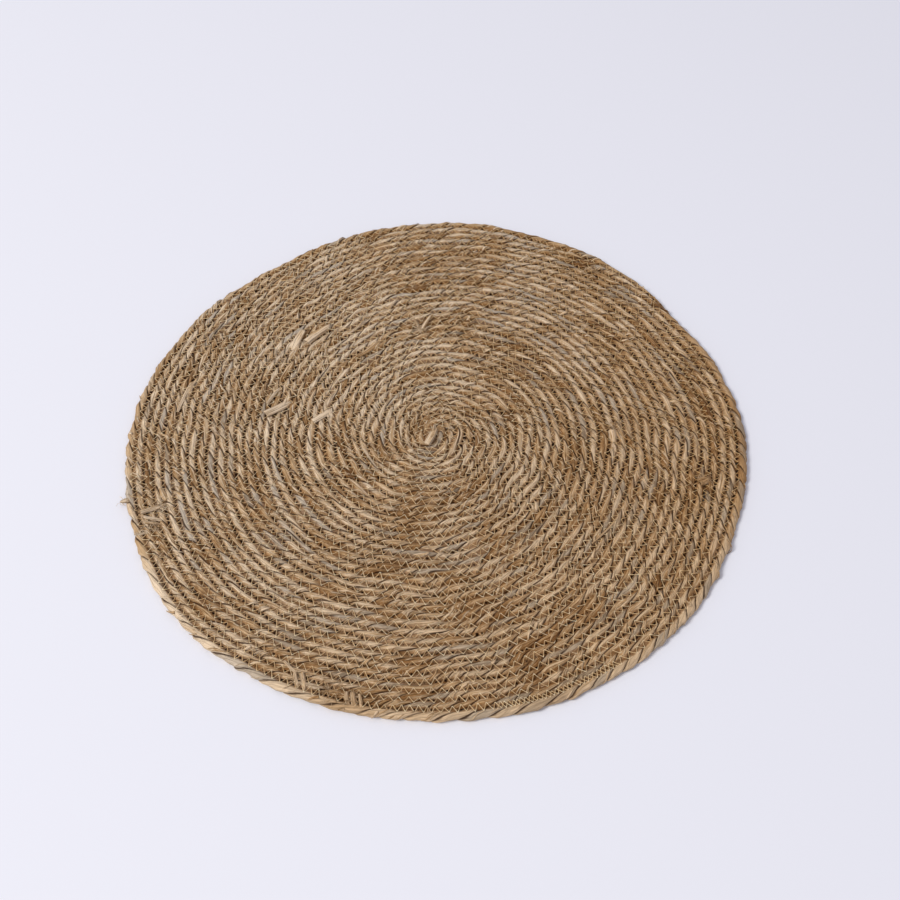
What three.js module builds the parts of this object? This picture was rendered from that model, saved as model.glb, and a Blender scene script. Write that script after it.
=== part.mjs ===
// Round placemat of coiled palm-leaf cord, in millimetres, +Z up.
// One long two-ply cord is wound flat in a spiral from a short hairpin at the middle.
// Each turn is sewn to the last.
// The origin is at the middle of the underside. Seen from the near edge, +Y points away and +X to the right.
import * as THREE from "three";

// Driving dimensions
const MAT_RADIUS = 190; // mean radius of the outline
const COIL_TURNS = 34; // turns of cord from the middle to the rim
const MAT_THICKNESS = 5; // height of the cord's crown over the flat underside
const GROOVE_DEPTH = 1.6; // depth of the sewn groove between two turns
const CROWN_SHARE = 0.44; // width of the cord's crown, as a share of the pitch
const RIM_HEIGHT = 2.6; // height at which the outer turn is widest
const RIM_TUCK = 1.3; // how far the outer turn draws in from its widest line to the underside
const CORD_END_ANGLE = 33; // degrees, where the cord's outer end lies on the rim
const END_TAPER_ANGLE = 24; // degrees of the outer turn over which the cord thins out to its end
const HAIRPIN_ANGLE = 66; // degrees, the lie of the short hairpin at the middle
const HAIRPIN_HALF_LENGTH = 5; // half the straight run of the hairpin
const HAIRPIN_FADE_RADIUS = 22; // radius over which the turns grow round again
const START_ANGLE = 100; // degrees back from the first turn to the crest of the cord's tucked-in start
const START_OFFSET = 1.6; // how far that crest lies from the hairpin's middle line

// The hand-pressed outline: how far the rim stands out from a true spiral, as a share of the radius
const UNEVENNESS = [
  { angle: 0, share: 0.017 },
  { angle: 15, share: 0.006 },
  { angle: 28, share: -0.011 },
  { angle: 45, share: -0.008 },
  { angle: 65, share: -0.01 },
  { angle: 82, share: 0.001 },
  { angle: 100, share: -0.006 },
  { angle: 126, share: -0.028 },
  { angle: 150, share: -0.007 },
  { angle: 172, share: 0.001 },
  { angle: 200, share: -0.001 },
  { angle: 220, share: 0.012 },
  { angle: 250, share: -0.001 },
  { angle: 270, share: -0.001 },
  { angle: 292, share: 0.011 },
  { angle: 320, share: 0.013 },
  { angle: 338, share: 0.001 },
  { angle: 350, share: 0.009 },
];
const UNEVEN_POWER = 2; // the unevenness grows with this power of the radius

// Fineness of the mesh
const CHORD_SAG = 0.24; // how far a turn's chord may lie inside its arc
const MOST_STEP = 30; // degrees, the widest step, kept by the innermost turns
const RIM_STEP = 3; // degrees between the points of the outline
const HAIRPIN_SHARPNESS = 2.2; // how suddenly the turns bend round the hairpin's two ends

const LEAF_TAN = [0.58, 0.475, 0.365]; // mean sRGB colour of the dry leaf

const FULL_TURN = 2 * Math.PI;
const PITCH = MAT_RADIUS / (COIL_TURNS + 0.5);
const WOUND_AT_END = FULL_TURN * COIL_TURNS;
const GROOVE_HEIGHT = MAT_THICKNESS - GROOVE_DEPTH;
const CROWN_INSET = (PITCH * (1 - CROWN_SHARE)) / 2;
const { degToRad, radToDeg, euclideanModulo, lerp, smoothstep } = THREE.MathUtils;

// Share by which the rim stands out at a heading, eased from one row of the table to the next.
function unevennessAt(heading) {
  const degrees = euclideanModulo(radToDeg(heading), 360);
  const last = UNEVENNESS.findLast((row) => row.angle <= degrees);
  const next = UNEVENNESS.find((row) => row.angle > degrees) ?? { ...UNEVENNESS[0], angle: 360 };
  return lerp(last.share, next.share, smoothstep(degrees, last.angle, next.angle));
}

// Place of a point of the coil, from the angle wound since the middle and the distance from the hairpin.
// Seen from above the coil winds clockwise. Far out it follows the uneven outline, and near the middle
// it wraps the hairpin.
function coilPoint(wound, radius, height) {
  const heading = degToRad(CORD_END_ANGLE) - wound;
  const out = radius * (1 + unevennessAt(heading) * (radius / MAT_RADIUS) ** UNEVEN_POWER);
  const lie = degToRad(HAIRPIN_ANGLE);
  const side = Math.tanh(HAIRPIN_SHARPNESS * Math.cos(heading - lie));
  const along = HAIRPIN_HALF_LENGTH * side * Math.exp(-((radius / HAIRPIN_FADE_RADIUS) ** 2));
  return new THREE.Vector3(
    out * Math.cos(heading) + along * Math.cos(lie),
    out * Math.sin(heading) + along * Math.sin(lie),
    height,
  );
}

// Distance out to the inner side of the cord at an angle wound.
function innerRadius(wound) {
  return (PITCH * wound) / FULL_TURN;
}

// Share of the cord's width that is left, 1 until it thins out to its end.
function widthShare(wound) {
  const left = (WOUND_AT_END - wound) / degToRad(END_TAPER_ANGLE);
  return Math.sqrt(Math.min(1, Math.max(0, left)));
}

// Angles wound along the cord, close enough that each chord keeps to its arc.
function cordAngles() {
  const angles = [0];
  while (angles.at(-1) < WOUND_AT_END) {
    const radius = Math.max(PITCH, innerRadius(angles.at(-1)));
    const step = Math.sqrt((8 * CHORD_SAG) / radius);
    angles.push(angles.at(-1) + Math.min(step, degToRad(MOST_STEP)));
  }
  angles[angles.length - 1] = WOUND_AT_END;
  return angles;
}

// Angles wound through the turn past the cord's end, at the outline's own even step.
function rimAngles() {
  const count = Math.round(360 / RIM_STEP);
  return Array.from({ length: count + 1 }, (_, i) => WOUND_AT_END + (FULL_TURN * i) / count);
}

// A closed surface in the making. A line is a row of its points with the angle wound at each.
class Surface {
  points = [];
  triangles = [];

  addPoint(point) {
    return this.points.push(point) - 1;
  }

  addLine(angles, place) {
    return angles.map((wound) => ({ wound, number: this.addPoint(place(wound)) }));
  }

  addTriangle(a, b, c) {
    if (a !== b && b !== c && c !== a) this.triangles.push([a, b, c]);
  }

  // Joins two lines side by side, stepping along whichever lags behind.
  // The outer line's angles run ahead of the inner line's by lag.
  join(inner, outer, lag = 0) {
    let i = 0;
    let j = 0;
    while (i < inner.length - 1 || j < outer.length - 1) {
      const nextInner = inner[i + 1]?.wound ?? Infinity;
      const nextOuter = (outer[j + 1]?.wound ?? Infinity) - lag;
      if (nextInner <= nextOuter) {
        this.addTriangle(inner[i].number, inner[i + 1].number, outer[j].number);
        i += 1;
      } else {
        this.addTriangle(inner[i].number, outer[j + 1].number, outer[j].number);
        j += 1;
      }
    }
  }

  // Closes the opening inside a line that runs clockwise round a point.
  fanInside(center, line) {
    line.slice(1).forEach((place, i) => this.addTriangle(center, place.number, line[i].number));
  }

  // Closes the underside within a line that runs clockwise round a point, seen from above.
  fanUnder(center, line) {
    line.slice(1).forEach((place, i) => this.addTriangle(center, line[i].number, place.number));
  }

  toGeometry() {
    const geometry = new THREE.BufferGeometry().setFromPoints(this.points);
    geometry.setIndex(this.triangles.flat());
    geometry.computeVertexNormals();
    return geometry;
  }
}

// The coiled cord as one solid: ribbed top, rounded rim and flat underside
function coiledCordGeometry() {
  const surface = new Surface();

  // The groove line runs from the middle to the cord's end, which is a point of the rim.
  const angles = cordAngles();
  const groove = surface.addLine(angles, (wound) => {
    const height = wound < WOUND_AT_END ? GROOVE_HEIGHT : RIM_HEIGHT;
    return coilPoint(wound, innerRadius(wound), height);
  });
  const cordEnd = groove.at(-1);

  // The crown's two edges draw together at the cord's end.
  const crownLine = (inset) => {
    const place = (wound) => {
      const height = lerp(RIM_HEIGHT, MAT_THICKNESS, widthShare(wound));
      return coilPoint(wound, innerRadius(wound) + inset * widthShare(wound), height);
    };
    return [...surface.addLine(angles.slice(0, -1), place), cordEnd];
  };
  const crownInner = crownLine(CROWN_INSET);
  const crownOuter = crownLine(PITCH - CROWN_INSET);

  // The rim leaves the cord's end, runs once round outside the last turn and comes back to it.
  const outside = rimAngles();
  const rimRadius = (wound) => innerRadius(wound - FULL_TURN) + PITCH * widthShare(wound - FULL_TURN);
  const rimLine = surface.addLine(outside.slice(1, -1), (wound) =>
    coilPoint(wound, rimRadius(wound), RIM_HEIGHT),
  );
  const rim = [cordEnd, ...rimLine, { wound: outside.at(-1), number: cordEnd.number }];

  // Top: each rib's inner side, crown and outer side
  const secondTurn = groove.findIndex((place) => place.wound >= FULL_TURN);
  surface.join(groove, crownInner);
  surface.join(crownInner, crownOuter);
  surface.join(crownOuter, [...groove.slice(secondTurn), ...rim.slice(1)], FULL_TURN);

  // Middle: the cord's start lies raised between the hairpin's two sides
  const opening = [...groove.slice(0, secondTurn + 1), crownOuter[0], crownInner[0], groove[0]];
  const start = coilPoint(-degToRad(START_ANGLE), START_OFFSET, MAT_THICKNESS);
  surface.fanInside(surface.addPoint(start), opening);

  // Rim and underside
  const footLine = surface.addLine(outside.slice(0, -1), (wound) =>
    coilPoint(wound, rimRadius(wound) - RIM_TUCK, 0),
  );
  const foot = [...footLine, { wound: outside.at(-1), number: footLine[0].number }];
  surface.join(rim, foot);
  surface.fanUnder(surface.addPoint(new THREE.Vector3(0, 0, 0)), foot);
  return surface.toGeometry();
}

const palmLeaf = new THREE.MeshStandardMaterial({
  color: new THREE.Color().setRGB(...LEAF_TAN, THREE.SRGBColorSpace),
  roughness: 0.8,
  metalness: 0,
});

const coiledCord = new THREE.Mesh(coiledCordGeometry(), palmLeaf);
coiledCord.name = "coiled_cord";

const placemat = new THREE.Group();
placemat.add(coiledCord);

export default placemat;
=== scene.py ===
# Looks of a round placemat of coiled, sewn palm-leaf cord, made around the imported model.
import math

import bpy
import numpy as np
from mathutils import Matrix, Vector


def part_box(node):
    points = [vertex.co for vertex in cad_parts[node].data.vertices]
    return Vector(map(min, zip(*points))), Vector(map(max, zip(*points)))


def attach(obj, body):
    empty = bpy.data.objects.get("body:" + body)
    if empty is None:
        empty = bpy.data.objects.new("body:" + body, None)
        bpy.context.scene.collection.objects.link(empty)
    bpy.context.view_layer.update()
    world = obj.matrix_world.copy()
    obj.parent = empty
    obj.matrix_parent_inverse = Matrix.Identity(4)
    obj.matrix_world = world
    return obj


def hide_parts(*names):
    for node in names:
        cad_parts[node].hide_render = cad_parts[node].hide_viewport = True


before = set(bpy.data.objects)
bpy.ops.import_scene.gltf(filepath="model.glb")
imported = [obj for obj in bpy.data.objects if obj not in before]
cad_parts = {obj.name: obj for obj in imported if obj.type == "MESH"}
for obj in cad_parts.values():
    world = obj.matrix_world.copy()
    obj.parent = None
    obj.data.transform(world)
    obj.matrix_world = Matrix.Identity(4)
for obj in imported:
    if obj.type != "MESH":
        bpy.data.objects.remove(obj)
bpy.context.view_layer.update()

MM = 0.001
TURN = 2 * math.pi
BODY = "root"
CORD_NODE = "coiled_cord"
UPWARD = [0.0, 0.0, 1.0]

# Driving dimensions of the mat, in millimetres and degrees
MAT_RADIUS = 190.0
COIL_TURNS = 34
CORD_END_ANGLE = 33.0  # where the cord's outer end lies on the rim
END_TAPER_ANGLE = 24.0  # how much of the outer turn thins out to that end
HAIRPIN_ANGLE = 66.0  # the lie of the short hairpin at the middle
HAIRPIN_HALF_LENGTH = 5.0
HAIRPIN_FADE_RADIUS = 22.0  # radius over which the turns grow round again
HAIRPIN_SHARPNESS = 2.2  # how suddenly the turns bend round the hairpin's two ends
HAIRPIN_SHIFT = 1.7  # how far the hairpin lies to the left of the coil's middle
HAIRPIN_SPREAD = 1.2  # how much more its left side does, and its right side less
HAIRPIN_SHIFT_RADIUS = 13.0  # radius over which that shift fades
PITCH = MAT_RADIUS / (COIL_TURNS + 0.5)
WOUND_AT_END = TURN * COIL_TURNS
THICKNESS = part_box(CORD_NODE)[1].z / MM
MIDDLE_HEIGHT = THICKNESS / 2
WIDEST_BAND = (0.5, 0.54)  # shares of the thickness between which the solid's widest line lies
SWAY = 0.85  # how far the turns wander from the spiral
SWAY_LENGTHS = (25, 31, 38, 47, 58, 76)
SWAY_AT_RIM = 0.2  # share of the sway that is left at the rim
SWAY_RIM_FADE = 30.0  # distance from the rim where it starts to fall
SWAY_MIDDLE_FADE = 25.0  # radius below which it falls to nothing

# The cord's blunt start, on the left of the hairpin
START_POINT = np.array([-5.6, -7.0])
START_LIE = math.radians(70)
START_PULL = 16.5  # reach of the Bezier curve's first handle
JOIN_PULL = 4.5  # reach of its last handle, back along the first turn
START_STEPS = 60
START_WOUND = -2.5  # angle wound at the start, with 0 where the first turn begins
START_ROUND = 2.4  # length of cord over which its start rounds off
START_BLUNTNESS = 0.06  # so that it starts blunt and not in a point
START_FATNESS = 0.14  # how much wider the cord is where its start has slackened
START_FAT_LENGTH = 11.0
START_SLACK = 13.0  # length of cord over which the twist tightens from nothing

# The twist of the cord
LAY_LENGTH = 24.0  # length of cord in which a ply goes once round
SLOW_TWIST = 1.1  # radians by which the twist runs ahead or behind
SLOW_TWIST_LENGTHS = (95, 127, 170, 233, 61)
SHORT_TWIST = 0.62
SHORT_TWIST_LENGTHS = (27, 35, 44)
PLY_OFFSET = 1.15  # from the cord's middle line to a ply's own middle
PLY_HALF_DEPTH = 1.72
PLY_HALF_WIDTH = 2.66
PLY_SQUARENESS = 2.15  # 2 would be an ellipse
PLY_REACH = PLY_OFFSET + PLY_HALF_DEPTH
CROWN_DRAW = 0.66  # how close the crown of the cord is drawn in
SIDE_SPREAD = 1.2  # how far its sides are spread, into the turns beside it
HEIGHT_SHARE = 0.93  # the sewing presses the cord this flat
TAPER_HEIGHT_SHARE = 0.52  # share of its height that the cord keeps where it thins out to nothing
FLOOR_CLEARANCE = 0.05
COIL_STEP = math.radians(0.5)  # fineness of the coil's line before it is made even in length
RING_STEP = 2.2  # length of cord between two rings of a ply
PLY_CORNERS = (-180, -126, -94, -62, -31, 0, 31, 62, 94, 126)  # degrees round the ply
FIBRE_SLANT = 7.2  # millimetres round the ply that the fibres gain in one lump
BULGE = 0.13  # share by which a ply's lumps bulge
BULGE_LENGTHS = (11, 14.5, 19, 27, 41)
CRINKLE = 0.045  # share by which its strips crinkle
CRINKLE_LENGTHS = (5.1, 7.3, 9.7, 13.1)
SWELL = 0.05  # share by which the cord is fatter or thinner
SWELL_LENGTHS = (17, 23, 37, 52, 71, 113)
LIFT = 0.26  # how far the cord rises or sinks
LIFT_LENGTHS = (19, 29, 43, 67, 97, 151)
# Back from the cord's end along the rim: the heading, and the lay there as a share of the mean lay
RIM_LAYS = [(33, 1.0), (150, 1.05), (215, 1.35), (280, 1.3), (300, 0.8), (335, 0.8), (393, 1.1)]
RIM_BLEND = 30.0  # half the length of cord over which its twist changes to the rim's
RIM_CALM = 0.75  # how much more even the twist is on the rim turn

# The zigzag seam
LEG_STEP = 2.75  # distance along the groove from one needle hole to the next
LEG_PACE = 0.1  # share by which that distance varies
LEG_PACE_LENGTHS = (37, 61, 83, 149)
SEAM_HALF_WIDTH = 1.95  # from the groove to the needle holes on both sides
HOLE_DRIFT = 0.3  # how far the holes drift in and out
HOLE_DRIFT_LENGTHS = (23, 41, 67)
HOLE_JITTER = (0.3, 0.2)  # by how much single holes are off, across and along the groove
HOLE_SKEW = -0.26  # how far the outer holes lie ahead of even places, and the inner ones behind
THREAD_RADIUS = 0.215
TUBE_CORNERS = np.radians([90, 210, 330])  # round a thread or fibre
SEAM_START = math.radians(216)
SEAM_END = WOUND_AT_END - math.radians(2)
SEAM_SAMPLES = 40000
UNDER_THREAD_HEIGHT = 0.22
PRESS = 0.32  # share of its height that the cord loses at the groove, where the thread presses it
AGAIN_BACK = math.radians(360 - 92)  # angle back from the cord's end to the doubled stretch of seam
AGAIN_ANGLE = math.radians(22)
HOLE_DEPTH = 0.5  # how far a leg's two tips go into the needle holes
LEG_CLEARANCE = 0.08  # how far it clears the cord beside them

# Loose leaf
SLIVER_COUNT = 2600
TIP_COUNT = 420
LOOSE_FIBRES = 1900
LEAF_THICKNESS = 0.3
TIP_THICKNESS = 0.12
END_HEIGHT = 4.9  # height at which a cut end leaves the cord
END_DEPTH = 1.6  # how far below that its root is sunk
FIBRE_HEIGHT = 4.7
RIM_DROP = 2.0  # how far fibres hang down outside the rim


def noise_line(place, lengths, seed):
    """A smooth random line: sine waves of the given lengths, added with seeded phases."""
    phases = np.random.default_rng(seed).uniform(0, TURN, len(lengths))
    waves = [np.sin(TURN * place / length + phase) for length, phase in zip(lengths, phases)]
    return sum(waves) / math.sqrt(len(lengths))


def noise_plane(x, y, lengths, seed):
    """A smooth random surface: plane waves of the given lengths in seeded directions, added."""
    random = np.random.default_rng(seed)
    total = 0
    for length in lengths:
        direction, phase = random.uniform(0, TURN, 2)
        along = x * math.cos(direction) + y * math.sin(direction)
        total = total + np.sin(TURN * along / length + phase)
    return total / math.sqrt(len(lengths))


def eased(value, low, high):
    """0 below low, 1 above high, with a smooth S between."""
    t = np.clip((value - low) / (high - low), 0, 1)
    return t * t * (3 - 2 * t)


def unit(vectors):
    """Vectors of the same directions and of length 1."""
    return vectors / np.linalg.norm(vectors, axis=-1, keepdims=True)


def left_of(ahead):
    """Directions in plan turned a quarter to the left."""
    return np.stack([-ahead[..., 1], ahead[..., 0]], -1)


def raised(plan, z):
    """Points in space from places in plan and heights."""
    return np.concatenate([plan, z[..., None]], -1)


# The coil

def width_share(wound):
    """Share of the cord's width that is left: 1, then a square root down to 0 at the cord's end."""
    left = (WOUND_AT_END - wound) / math.radians(END_TAPER_ANGLE)
    return np.sqrt(np.clip(left, 0, 1))


def rim_table():
    """Unevenness of the outline by heading, from the solid's widest line.
    A rim point's distance from the middle is set against the true spiral's at that heading."""
    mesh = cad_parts[CORD_NODE].data
    points = np.empty(len(mesh.vertices) * 3)
    mesh.vertices.foreach_get("co", points)
    points = points.reshape(-1, 3) / MM
    radius = np.hypot(points[:, 0], points[:, 1])
    height = points[:, 2] / THICKNESS
    low, high = WIDEST_BAND
    rim = points[(height > low) & (height < high) & (radius > MAT_RADIUS * 0.9)]
    heading = np.degrees(np.arctan2(rim[:, 1], rim[:, 0])) % 360
    past_end = (CORD_END_ANGLE - heading) % 360
    wound = WOUND_AT_END - TURN + np.radians(past_end)
    spiral = PITCH * (wound / TURN + width_share(wound))
    share = (np.hypot(rim[:, 0], rim[:, 1]) / spiral - 1) / (spiral / MAT_RADIUS) ** 2
    order = np.argsort(heading)
    return heading[order], share[order]


RIM_HEADINGS, RIM_SHARES = rim_table()


def coil_point(wound, radius):
    """Place of points of the coil in plan. The heading falls as the cord winds on, so it winds clockwise.
    The distance out is the radius, stretched to the uneven outline with the square of the radius, and
    pushed by a smooth wander that fades at the rim and in the middle. Near the middle the place is
    shifted along the hairpin by a tanh of the heading, and a little to its left."""
    heading = math.radians(CORD_END_ANGLE) - wound
    uneven = np.interp(np.degrees(heading) % 360, RIM_HEADINGS, RIM_SHARES, period=360)
    out = radius * (1 + uneven * (radius / MAT_RADIUS) ** 2)
    inside = np.clip((MAT_RADIUS - radius) / SWAY_RIM_FADE, SWAY_AT_RIM, 1)
    inside = inside * np.clip(radius / SWAY_MIDDLE_FADE, 0, 1)
    x = radius * np.cos(heading)
    y = radius * np.sin(heading)
    out = out + SWAY * inside * noise_plane(x, y, SWAY_LENGTHS, seed=11)
    lie = math.radians(HAIRPIN_ANGLE)
    side = np.tanh(HAIRPIN_SHARPNESS * np.cos(heading - lie))
    along = HAIRPIN_HALF_LENGTH * side * np.exp(-((radius / HAIRPIN_FADE_RADIUS) ** 2))
    left = HAIRPIN_SHIFT + HAIRPIN_SPREAD * np.sin(heading - lie)
    left = left * np.exp(-((radius / HAIRPIN_SHIFT_RADIUS) ** 2))
    x = out * np.cos(heading) + along * math.cos(lie) - left * math.sin(lie)
    y = out * np.sin(heading) + along * math.sin(lie) + left * math.cos(lie)
    return np.stack([x, y], -1)


def cord_line():
    """The cord's middle line in plan, even in length, with the angle wound at each point.
    It is a Bezier curve from the blunt start up the hairpin's left and over into the first turn, and
    then the coil at half the cord's width outside its inner side."""
    wound = np.arange(0, WOUND_AT_END, COIL_STEP)
    coil = coil_point(wound, PITCH * (wound / TURN + 0.5 * width_share(wound)))
    tangent = unit(coil[1] - coil[0])
    a = START_POINT
    b = a + START_PULL * np.array([math.cos(START_LIE), math.sin(START_LIE)])
    d = coil[0]
    c = d - JOIN_PULL * tangent
    t = np.linspace(0, 1, START_STEPS, endpoint=False)[:, None]
    start = a * (1 - t) ** 3 + 3 * b * t * (1 - t) ** 2 + 3 * c * t**2 * (1 - t) + d * t**3
    line = np.concatenate([start, coil])
    wound = np.concatenate([np.linspace(START_WOUND, 0, START_STEPS, endpoint=False), wound])
    length = np.concatenate([[0], np.cumsum(np.linalg.norm(np.diff(line, axis=0), axis=1))])
    even = np.linspace(0, length[-1], int(length[-1] / RING_STEP) + 1)
    points = np.stack([np.interp(even, length, line[:, k]) for k in range(2)], -1)
    return even, points, np.interp(even, length, wound)


def turn_width(wound):
    """Width of the cord's turn between its two grooves, as a share of the mean pitch."""
    inner = coil_point(wound, PITCH * wound / TURN)
    outer = coil_point(wound, PITCH * (wound / TURN + 1))
    return np.where(wound < TURN, 1, np.linalg.norm(outer - inner, axis=-1) / PITCH)


CORD_LENGTH, CORD_POINTS, CORD_WOUND = cord_line()
CORD_ASIDE = left_of(unit(np.gradient(CORD_POINTS, axis=0)))
CORD_SHARE = width_share(CORD_WOUND) * np.sqrt(np.clip(CORD_LENGTH / START_ROUND, START_BLUNTNESS, 1))
CORD_FATNESS = 1 + START_FATNESS * np.exp(-((CORD_LENGTH / START_FAT_LENGTH) ** 4))
CORD_WIDTH = turn_width(CORD_WOUND) * CORD_SHARE * CORD_FATNESS


def along_cord(wound):
    """Length of cord wound up to an angle."""
    return np.interp(wound, CORD_WOUND, CORD_LENGTH)


RIM_TURN_LENGTH = along_cord(WOUND_AT_END - TURN)


def on_cord(length, values):
    """Values or points known all along the cord, read off at lengths along it."""
    if values.ndim == 1:
        return np.interp(length, CORD_LENGTH, values)
    return np.stack([np.interp(length, CORD_LENGTH, part) for part in values.T], -1)


def on_rim_turn(length):
    """0 on the inner turns, easing to 1 on the rim turn."""
    return eased(length, RIM_TURN_LENGTH - RIM_BLEND, RIM_TURN_LENGTH + RIM_BLEND)


def cord_swell(length):
    """How much fatter or thinner the cord is than its mean, along its length."""
    return 1 + SWELL * noise_line(length, SWELL_LENGTHS, seed=21)


def cord_lift(length):
    """How far the cord's middle rises or sinks along its length, in millimetres."""
    return LIFT * noise_line(length, LIFT_LENGTHS, seed=22)


def needle_holes():
    """Angle wound at each needle hole, a leg's step apart along the groove, at a slightly uneven pace."""
    wound = np.linspace(SEAM_START, SEAM_END, SEAM_SAMPLES)
    points = coil_point(wound, PITCH * wound / TURN)
    pace = 1 + LEG_PACE * noise_line(wound * 20, LEG_PACE_LENGTHS, seed=63)
    steps = np.linalg.norm(np.diff(points, axis=0), axis=1) / pace[:-1]
    length = np.concatenate([[0], np.cumsum(steps)])
    return np.interp(np.arange(int(length[-1] / LEG_STEP)) * LEG_STEP, length, wound)


NEEDLE_HOLES = needle_holes()


def stitch_count(wound):
    """Needle holes passed along the groove up to an angle wound, with half a hole where there is no seam."""
    count = np.arange(len(NEEDLE_HOLES))
    return np.interp(wound, NEEDLE_HOLES, count, left=0.5, right=count[-1] + 0.5)


# Meshes

def new_piece(name, points, face_lists, maps, material):
    """A piece from points in millimetres, lists of faces and UV maps by name, on the mat's body."""
    corners = np.concatenate([faces.ravel() for faces in face_lists])
    sizes = np.concatenate([np.full(len(faces), faces.shape[1]) for faces in face_lists])
    starts = np.concatenate([[0], np.cumsum(sizes)[:-1]])
    mesh = bpy.data.meshes.new(name)
    mesh.vertices.add(len(points))
    mesh.vertices.foreach_set("co", (points * MM).astype(np.float32).ravel())
    mesh.loops.add(len(corners))
    mesh.loops.foreach_set("vertex_index", corners.astype(np.int32))
    mesh.polygons.add(len(starts))
    mesh.polygons.foreach_set("loop_start", starts.astype(np.int32))
    for map_name, values in maps.items():
        layer = mesh.uv_layers.new(name=map_name)
        layer.data.foreach_set("uv", np.concatenate(values).astype(np.float32).ravel())
    mesh.update(calc_edges=True)
    mesh.polygons.foreach_set("use_smooth", np.ones(len(starts), bool))
    mesh.materials.append(material)
    piece = bpy.data.objects.new(name, mesh)
    bpy.context.scene.collection.objects.link(piece)
    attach(piece, BODY)
    return piece


BAKE_MARGIN = 0.06  # share of a strip of the bake map that is left free on each side


def tubes(name, rings, lengthwise, around, bake_strips, material):
    """Closed tubes as one piece. rings holds the points as tube, ring, side; each step is a band of quads
    and each end a flat face. The Leaf map takes the place along each tube and the place round it.
    The OFBake map lays the steps of all tubes end to end in stacked strips."""
    count, ring_count, sides, _ = rings.shape
    number = np.arange(count * ring_count * sides).reshape(count, ring_count, sides)
    nearer, further = number[:, :-1], number[:, 1:]
    turned = [np.roll(part, -1, axis=2) for part in (nearer, further)]
    quads = np.stack([nearer, turned[0], turned[1], further], -1).reshape(-1, 4)
    first = number[:, 0, ::-1]
    last = number[:, -1]

    shape = (count, ring_count - 1, sides)
    u0 = np.broadcast_to(lengthwise[:, :-1, None], shape)
    u1 = np.broadcast_to(lengthwise[:, 1:, None], shape)
    v0 = np.broadcast_to(around[:-1], shape)
    v1 = np.broadcast_to(around[1:], shape)
    leaf = np.stack([u0, v0, u0, v1, u1, v1, u1, v0], -1).reshape(-1, 2)
    cap_u = [np.repeat(lengthwise[:, k], sides) for k in (0, -1)]
    cap_v = [np.tile(row, count) for row in (around[:-1][::-1], around[:-1])]
    leaf_caps = [np.stack(pair, -1) for pair in zip(cap_u, cap_v)]

    steps = np.arange(count * (ring_count - 1)).reshape(count, ring_count - 1)
    per_strip = math.ceil(steps.size / bake_strips)
    x0 = np.broadcast_to(((steps % per_strip) / per_strip)[..., None], shape)
    x1 = x0 + 1 / per_strip
    share = BAKE_MARGIN + (1 - 2 * BAKE_MARGIN) * np.arange(sides + 1) / sides
    y0 = ((steps // per_strip)[..., None] + share[:-1]) / bake_strips
    y1 = ((steps // per_strip)[..., None] + share[1:]) / bake_strips
    bake = np.stack([x0, y0, x0, y1, x1, y1, x1, y0], -1).reshape(-1, 2)
    cap_first = np.stack([x0[:, 0], y0[:, 0]], -1)[:, ::-1].reshape(-1, 2)
    cap_last = np.stack([x1[:, -1], y0[:, -1]], -1).reshape(-1, 2)

    maps = {"Leaf": [leaf, *leaf_caps], "OFBake": [bake, cap_first, cap_last]}
    return new_piece(name, rings.reshape(-1, 3), [quads, first, last], maps, material)


# Materials

class Socket:
    """An output in a material's node tree. Arithmetic on it adds Math nodes."""

    def __init__(self, material, socket):
        self.material = material
        self.socket = socket

    def math(self, operation, *values):
        return self.material.node("Math", {"operation": operation}, dict(enumerate(values)))

    def __add__(self, other):
        return self.math("ADD", self, other)

    def __radd__(self, other):
        return self.math("ADD", other, self)

    def __sub__(self, other):
        return self.math("SUBTRACT", self, other)

    def __rsub__(self, other):
        return self.math("SUBTRACT", other, self)

    def __mul__(self, other):
        return self.math("MULTIPLY", self, other)

    def __truediv__(self, other):
        return self.math("DIVIDE", self, other)

    def __abs__(self):
        return self.math("ABSOLUTE", self)

    def floor(self):
        return self.math("FLOOR", self)

    def fraction(self):
        return self.math("FRACT", self)

    def above(self, limit):
        """1 where it is greater than a limit, otherwise 0."""
        return self.math("GREATER_THAN", self, limit)

    def rise(self, low, high):
        """0 below low, 1 above high and eased between them."""
        settings = {"interpolation_type": "SMOOTHSTEP"}
        return self.material.node("MapRange", settings, {0: self, 1: low, 2: high, 3: 0.0, 4: 1.0})


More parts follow.
